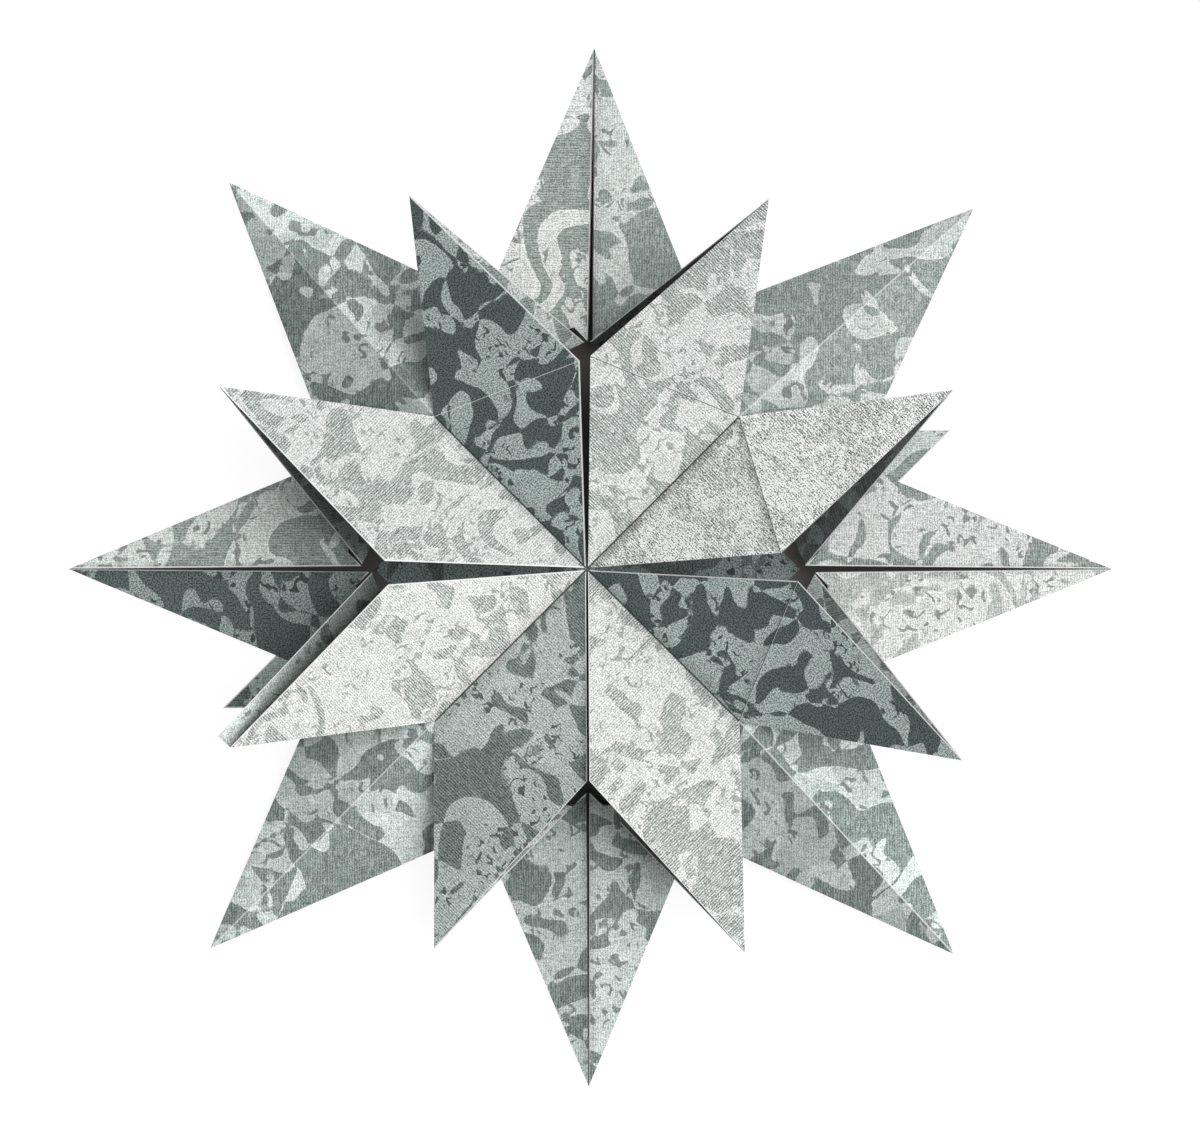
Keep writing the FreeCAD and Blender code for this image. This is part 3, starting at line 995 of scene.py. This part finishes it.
@dataclass
class DiagonalPoint:
    """Folded sheet of a diagonal point: a ridged kite that carries two petals.

    Attributes:
        plan: Sizes that the sheets share.
        side: Where on the star the point is.
        heading: Degrees from +X to the point.
        reach: Distance of the kite's tip.
        swing: Degrees by which the kite is swung about the middle of the star.
        left: Petal on the left, as seen from the middle of the star.
        right: Petal on the right.
        kite_finish: Print of the kite.
        shift: Which part of the endless print lies on the sheet, in centimetres.
        painted_face_light: Brightness of the kite's left and right face: one print made lighter and darker
            to paint the light on either side of the ridge.
        seam: Gap between the flaps behind the kite.
        shoulder_width: Distance of a petal's shoulder from the valley, on the flat sheet.
        petal_width: The same for its tip.
        middle_gap: Distance of the sheet from the middle of the star.
        ripple: Largest height of the petals' ripple.
        cuts: Cuts across each edge of a facet.
    """

    plan: Plan
    side: str
    heading: float
    reach: float
    swing: float
    left: Petal
    right: Petal
    kite_finish: PrintedPaper
    shift: tuple[float, float]
    painted_face_light: tuple[float, float]
    seam: float = 0.6 * MM
    shoulder_width: float = 33.4 * MM
    petal_width: float = 34.7 * MM
    middle_gap: float = 0.35 * MM
    ripple: float = 0.25 * MM
    cuts: int = 9

    @property
    def foot(self) -> Vector:
        """Foot of the ridge, where the valley ends."""
        return Vector((self.plan.waist, 0.0, self.plan.foot_rise))

    def kite(self) -> FoldedSheet:
        """Ridged kite: two faces, two inner faces and the flaps folded behind.

        Returns:
            The shaped kite.
        """
        sheet = FoldedSheet("diagonal_point_" + self.side)
        waist = self.plan.waist
        rise = self.plan.fold_rise
        tail = Vector((self.plan.tail, 0.0, self.plan.middle_rise))
        tip = turned(Vector((self.reach, 0.0, 0.0)), self.swing)
        for slot, sign in enumerate(SIDES.values()):
            fold = turned(Vector((waist, sign * self.plan.half_width, rise)), self.swing)
            seam = turned(Vector((waist, sign * self.seam / 2, rise)), self.swing)
            face = [tip, fold, self.foot]
            inner = [self.foot, fold, tail]
            flap = [tip, fold, seam]
            sheet.add(
                Facet(face, flat(face), slot, pale={2: LINE_WIDTHS["ridge"]}),
                Facet(inner, flat(inner), slot),
                Facet(flap, flat(flap, sign * self.plan.edge), slot, facing=DOWN),
            )
        sheet.shape(self.heading, self.plan.paper / 2, self.cuts)
        return sheet

    def upper_layer(self, petal: Petal, sign: float, slot: int) -> list[Facet]:
        """Facets of a petal's upper layer.

        Args:
            petal: The petal.
            sign: Which side of the valley it is on.
            slot: Number of its material slot.

        Returns:
            The root facet and the tip facet.
        """
        low = self.plan.middle_rise
        valley = low + (self.plan.foot_rise - low) * petal.shoulder / self.plan.waist
        middle = Vector((self.middle_gap, 0.0, low))
        hinged = []
        for along, rise, width, lift in (
            (petal.shoulder, valley, self.shoulder_width, math.radians(petal.root_lift)),
            (petal.reach, self.plan.foot_rise, self.petal_width, math.radians(petal.tip_lift)),
        ):
            across = Vector((0.0, sign * math.cos(lift), math.sin(lift)))
            hinged.append(Vector((along, 0.0, rise)) + width * across)
        shoulder, tip = hinged
        flat_shoulder = (petal.shoulder, sign * self.shoulder_width)
        flat_tip = (petal.reach, sign * self.petal_width)
        flat_foot = (self.foot.x, 0.0)
        facets = []
        for edges, corners, sheet in (
            (ROOT_EDGES, [middle, shoulder, self.foot], [(middle.x, 0.0), flat_shoulder, flat_foot]),
            (TIP_EDGES, [self.foot, shoulder, tip], [flat_foot, flat_shoulder, flat_tip]),
        ):
            pale = line_widths(edges, petal.pale, petal.line_scale)
            facets.append(Facet(corners, sheet, slot, pale=pale, dark=line_widths(edges, petal.dark)))
        return facets

    def lower_layer(self, petal: Petal, sign: float, hinge: Facet, slot: int) -> list[Facet]:
        """Facets of a petal's lower layer.

        Args:
            petal: The petal.
            sign: Which side of the valley it is on.
            hinge: Tip facet of the upper layer, which shares its hinge.
            slot: Number of its material slot.

        Returns:
            The layer, and its curled edge where it has one.
        """
        foot, shoulder, tip = hinge.corners
        rise = self.plan.gapes[petal.neighbour] + self.plan.paper + self.plan.settle
        shift = sign * self.plan.edge
        if petal.curl is None:
            along = (petal.pocket + petal.beside) / math.sqrt(2)
            across = (petal.pocket - petal.beside) / math.sqrt(2)
            layer = [foot, Vector((along, sign * across, rise)), tip]
            worn_and_lit = {1: LINE_WIDTHS["pocket"]}
            return [Facet(layer, flat(layer, shift), slot, facing=DOWN, pale=worn_and_lit)]
        root = Vector((shoulder.x, shoulder.y, rise))
        root += (tip - root).normalized() * petal.curl.inset
        layer = [foot, root, tip]
        strip = petal.curl.facets(root, tip, sign, 2 * shift, slot)
        return [Facet(layer, flat(layer, shift), slot, facing=DOWN), *strip]

    def build(self) -> None:
        """Builds the kite and the petals and dresses them."""
        node = "point_" + self.side
        cut = self.plan.cut
        base = replace(self.kite_finish, line_turn=self.heading, shift=self.shift)
        # the kite's two faces are one print at two brightnesses, painted light and shade on either side of
        # the ridge
        faces = [
            replace(base, strength=strength).build("print_kite_%s_%s" % (self.side, word))
            for word, strength in zip(SIDES, self.painted_face_light)
        ]
        self.kite().dress(node, "petal_paper", [*faces, cut, cut], self.plan.shown, rim=2)
        sheet = FoldedSheet("petals_" + self.side)
        uppers = []
        lowers = []
        for slot, (word, petal) in enumerate((("left", self.left), ("right", self.right))):
            upper = self.upper_layer(petal, SIDES[word], slot)
            sheet.add(*upper, *self.lower_layer(petal, SIDES[word], upper[1], slot + 2))
            # each petal shows a part of the print that lies away from the kite's
            shift = (self.shift[0] + 7.0 * (slot + 1), self.shift[1] + 3.0)
            name = "petal_%s_%s" % (self.side, word)
            uppers.append(replace(petal.upper, shift=shift).build("print_" + name))
            lowers.append(replace(petal.lower, shift=shift).build("print_band_" + name))
        sheet.shape(self.heading, self.plan.paper / 2, self.cuts, self.ripple)
        materials = [*uppers, *lowers, *[cut] * 4]
        sheet.dress(node, "petal_paper", materials, self.plan.shown, rim=4)


@dataclass
class CentreSquare:
    """Plain square sheet that lies on the inner ends of the straight points.

    Attributes:
        plan: Sizes that the sheets share.
        finish: Print of the sheet.
        coverages: Threshold of the blotches on the west quarter and on the east one.
        slots: Material slots of the east, north, west and south quarters; the north and south take the
            near-black painted shade.
        cuts: Cuts across each edge of a facet.
    """

    plan: Plan
    finish: PrintedPaper = PrintedPaper(Tone.DUSK, Grain.SPECKLED, shift=(40.0, 12.0), strength=1.5)
    coverages: tuple[float, float] = (0.75, 0.53)
    slots: tuple[int, int, int, int] = (2, 0, 1, 0)
    cuts: int = 7

    def build(self) -> None:
        """Builds the square, its north and south quarters near-black as painted shade, and dresses it."""
        sheet = FoldedSheet("centre_sheet")
        middle = Vector((0.0, 0.0, 0.0))
        first = Vector((self.plan.square_reach / math.sqrt(2), 0.0, 0.0))
        sides = [turned(first, 45.0 + 90.0 * step) for step in range(4)]
        for number, (slot, side) in enumerate(zip(self.slots, sides)):
            before = sides[number - 1]
            quarter = [middle, before, before + side, side]
            sheet.add(Facet(quarter, flat(quarter), slot))
        sheet.shape(0.0, self.plan.paper * 1.5, self.cuts)
        prints = [
            replace(self.finish, coverage=coverage).build("print_centre_" + word)
            for word, coverage in zip(("west", "east"), self.coverages)
        ]
        materials = [self.plan.black, *prints, *[self.plan.cut] * 3]
        sheet.dress("centre_square", "centre_paper", materials, self.plan.shown, rim=3)


@dataclass(frozen=True)
class Studio:
    """Pale floor, one soft key light, even fill from the sky and a camera straight above.

    Lengths are in metres and angles in degrees; the key's azimuth counts from +X.
    """

    floor_size: float = 3.0
    floor_grey: float = 0.16
    floor_glow: float = 0.9
    key_azimuth: float = 20.0
    key_elevation: float = 47.0
    key_strength: float = 2.75
    key_softness: float = 66.0
    sky_strength: float = 0.36
    camera_height: float = 4.0
    view_width: float = 0.2605
    view_centre: tuple[float, float] = (0.00282, -0.00098)

    def floor(self) -> None:
        """Lays the floor, which stays white and keeps a faint shadow of the star."""
        mesh = bmesh.new()
        bmesh.ops.create_grid(mesh, x_segments=1, y_segments=1, size=self.floor_size / 2)
        data = bpy.data.meshes.new("floor")
        mesh.to_mesh(data)
        mesh.free()
        graph = Graph(bpy.data.materials.new("floor_white"))
        path = graph.add("ShaderNodeLightPath")
        rays = [path.outputs["Is %s Ray" % kind] for kind in ("Camera", "Glossy", "Transmission")]
        strength = graph.product(graph.chain("MAXIMUM", *rays), self.floor_glow)
        glow = graph.add("ShaderNodeEmission", {"Strength": strength})
        grey = graph.add("ShaderNodeBsdfDiffuse", {"Color": (*[self.floor_grey] * 3, 1.0)})
        both = graph.add("ShaderNodeAddShader", {0: glow.outputs[0], 1: grey.outputs[0]})
        graph.add("ShaderNodeOutputMaterial", {"Surface": both.outputs[0]})
        data.materials.append(graph.owner)
        add_object("floor", data)

    def sky(self) -> None:
        """Lights the star evenly from a sky that shows as white behind it."""
        world = bpy.data.worlds.new("sky")
        bpy.context.scene.world = world
        graph = Graph(world)
        seen = graph.add("ShaderNodeLightPath").outputs["Is Camera Ray"]
        fill, white = [
            graph.add("ShaderNodeBackground", {"Color": (1.0, 1.0, 1.0, 1.0), "Strength": strength})
            for strength in (self.sky_strength, 1.0)
        ]
        mix = graph.add("ShaderNodeMixShader", {0: seen, 1: fill.outputs[0], 2: white.outputs[0]})
        graph.add("ShaderNodeOutputWorld", {"Surface": mix.outputs[0]})

    def key(self) -> None:
        """Hangs the soft key light in the east, a little north of it."""
        data = bpy.data.lights.new("key", "SUN")
        data.energy = self.key_strength
        data.angle = math.radians(self.key_softness)
        elevation = math.radians(self.key_elevation)
        towards = turned(Vector((math.cos(elevation), 0.0, math.sin(elevation))), self.key_azimuth)
        add_object("key", data).rotation_euler = towards.to_track_quat("Z", "Y").to_euler()

    def camera(self) -> None:
        """Puts the camera straight above the star, high enough to flatten the petals' height."""
        data = bpy.data.cameras.new("camera")
        data.sensor_width = 36.0
        data.lens = data.sensor_width * self.camera_height / self.view_width
        camera = add_object("camera", data)
        camera.location = (*self.view_centre, self.camera_height)
        bpy.context.scene.camera = camera

    def build(self) -> None:
        """Builds the studio."""
        self.floor()
        self.sky()
        self.key()
        self.camera()
        bpy.context.scene.view_settings.view_transform = "Standard"


def read_plan() -> Plan:
    """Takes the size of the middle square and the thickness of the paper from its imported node.

    Returns:
        The sizes that all sheets share.
    """
    low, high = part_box("centre_square")
    return Plan(
        square_reach=high.x,
        paper=high.z - low.z,
        gapes={"north": 4.7 * MM, "east": 5.6 * MM, "south": 3.4 * MM, "west": 5.1 * MM},
        black=PlainPaper(SHADOW_BLACK).build("painted_shadow_inside"),
        cut=PlainPaper(BARE_PAPER).build("cut_edge"),
    )


def straight_points(plan: Plan) -> list[StraightPoint]:
    """Lists the four straight points.

    Args:
        plan: Sizes that the sheets share.

    Returns:
        The points; the fine lines of some flaps run across the sheet.
    """
    across = partial(PrintedPaper, line_turn=90.0)
    return [
        StraightPoint(
            plan, "east", heading=0.0, reach=113.9 * MM, slit=1.3 * MM,
            left=Flap(47.3 * MM, PrintedPaper(Tone.LIGHT, coverage=0.56, strength=0.87)),
            right=Flap(49.4 * MM, PrintedPaper(Tone.FAINT), worn_and_lit=0.26 * MM),
            shift=(3.0, 5.0), tab_tone=Tone.MEDIUM,
        ),
        StraightPoint(
            plan, "north", heading=89.2, reach=113.0 * MM, slit=0.9 * MM,
            left=Flap(49.3 * MM, PrintedPaper(Tone.LIGHT, coverage=0.54, strength=1.1), slit_shadow=0.16 * MM),
            right=Flap(49.4 * MM, across(Tone.MEDIUM, coverage=0.55, strength=0.96), 0.0, 0.16 * MM),
            shift=(11.0, 2.0),
        ),
        StraightPoint(
            plan, "west", heading=180.0, reach=112.5 * MM, slit=1.1 * MM,
            left=Flap(47.1 * MM, PrintedPaper(Tone.SHADED, Grain.SPECKLED, coverage=0.38), worn_and_lit=0.18 * MM),
            right=Flap(48.8 * MM, across(Tone.MEDIUM, strength=1.15), worn_and_lit=0.34 * MM),
            shift=(6.0, 21.0), tab_tone=Tone.DARK,
        ),
        StraightPoint(
            plan, "south", heading=270.2, reach=112.3 * MM, slit=0.5 * MM,
            left=Flap(48.4 * MM, across(Tone.DEEP, coverage=0.55, strength=1.14), 0.2 * MM, 0.14 * MM),
            right=Flap(48.5 * MM, across(Tone.DEEP, coverage=0.54, strength=1.05), 0.0, 0.14 * MM),
            shift=(25.0, 8.0),
        ),
    ]


def diagonal_points(plan: Plan) -> list[DiagonalPoint]:
    """Lists the four diagonal points with their petals.

    Args:
        plan: Sizes that the sheets share.

    Returns:
        The points.
    """
    kite = partial(PrintedPaper, wear_and_highlight=0.5, twig_scale=2.5, wash=0.25)
    band = partial(PrintedPaper, line_turn=30.0, coverage=0.5)
    engraved = partial(PrintedPaper, grain=Grain.ENGRAVED)
    speckled = partial(PrintedPaper, grain=Grain.SPECKLED, blotch_scale=0.85)
    northeast = DiagonalPoint(
        plan, "northeast", heading=45.0, reach=114.6 * MM, swing=-2.0,
        left=Petal(
            "north", shoulder=33.1 * MM, reach=84.0 * MM, root_lift=16.3, tip_lift=34.3,
            pocket=49.3 * MM, beside=0.7 * MM, pale=("crease_tip",), dark=("valley", "crease_root"),
            upper=engraved(Tone.LIGHT, coverage=0.54, strength=1.02, soiling=0.1),
            lower=band(Tone.DUSK, strength=0.35),
        ),
        right=Petal(
            "east", shoulder=32.1 * MM, reach=82.9 * MM, root_lift=35.6, tip_lift=34.7,
            pocket=47.4 * MM, beside=0.7 * MM, pale=(), dark=("valley", "crease_root"),
            upper=PrintedPaper(Tone.FAINT, Grain.WORN, strength=1.12, soiling=0.42),
            lower=band(Tone.DUSK, strength=0.75),
        ),
        kite_finish=kite(Tone.MEDIUM), shift=(2.0, 31.0), painted_face_light=(0.95, 1.14),
    )
    northwest = DiagonalPoint(
        plan, "northwest", heading=135.0, reach=114.3 * MM, swing=-2.2,
        left=Petal(
            "west", shoulder=32.1 * MM, reach=83.7 * MM, root_lift=27.4, tip_lift=35.6,
            pocket=48.8 * MM, beside=1.1 * MM,
            upper=engraved(Tone.LIGHT, coverage=0.55, strength=0.8),
            lower=band(Tone.DUSK, strength=1.5),
        ),
        right=Petal(
            "north", shoulder=32.9 * MM, reach=84.0 * MM, root_lift=23.4, tip_lift=30.5,
            pocket=49.2 * MM, beside=0.6 * MM, pale=("free_root", "free_tip", "crease_tip"),
            upper=speckled(Tone.DARK, coverage=0.52, strength=0.93),
            lower=band(Tone.MEDIUM),
        ),
        kite_finish=kite(Tone.DEEP, wear_and_highlight=0.22), shift=(14.0, 38.0), painted_face_light=(0.94, 1.34),
    )
    southwest = DiagonalPoint(
        plan, "southwest", heading=225.0, reach=116.0 * MM, swing=0.2,
        left=Petal(
            "south", shoulder=32.4 * MM, reach=81.4 * MM, root_lift=13.5, tip_lift=2.0,
            pocket=52.4 * MM, beside=4.1 * MM, line_scale=0.6,
            upper=PrintedPaper(Tone.DEEP, Grain.ETCHED, coverage=0.51, strength=0.8, blotch_scale=0.55),
            lower=band(Tone.MEDIUM),
        ),
        right=Petal(
            "west", shoulder=32.7 * MM, reach=81.5 * MM, root_lift=33.2, tip_lift=38.5,
            pocket=46.9 * MM, beside=1.1 * MM, curl=Curl(),
            upper=engraved(Tone.PALE, coverage=0.56, strength=0.92),
            lower=band(Tone.DEEP, coverage=0.8, strength=1.6),
        ),
        kite_finish=kite(Tone.DEEP), shift=(27.0, 44.0), painted_face_light=(1.36, 1.13),
    )
    southeast = DiagonalPoint(
        plan, "southeast", heading=315.0, reach=115.3 * MM, swing=-1.4,
        left=Petal(
            "east", shoulder=34.1 * MM, reach=86.4 * MM, root_lift=24.6, tip_lift=36.0,
            pocket=49.4 * MM, beside=1.1 * MM, line_scale=0.75,
            pale=("free_root", "free_tip", "crease_tip"), dark=("valley", "crease_root"),
            upper=speckled(Tone.DARK, strength=1.05),
            lower=band(Tone.DEEP, strength=0.8),
        ),
        right=Petal(
            "south", shoulder=32.8 * MM, reach=82.7 * MM, root_lift=16.4, tip_lift=6.0,
            pocket=55.0 * MM, beside=7.1 * MM, line_scale=0.5,
            upper=engraved(Tone.PALE, coverage=0.54, strength=0.9),
            lower=band(Tone.DUSK),
        ),
        kite_finish=kite(Tone.DEEP, coverage=0.55, wear_and_highlight=0.7), shift=(5.0, 55.0), painted_face_light=(1.48, 0.96),
    )
    return [northeast, northwest, southwest, southeast]


def main() -> None:
    """Builds the studio and every sheet of the star."""
    logging.basicConfig(level=logging.INFO, format="%(name)s: %(message)s")
    Studio().build()
    plan = read_plan()
    CentreSquare(plan).build()
    for point in straight_points(plan) + diagonal_points(plan):
        point.build()


if __name__ == "__main__":
    main()
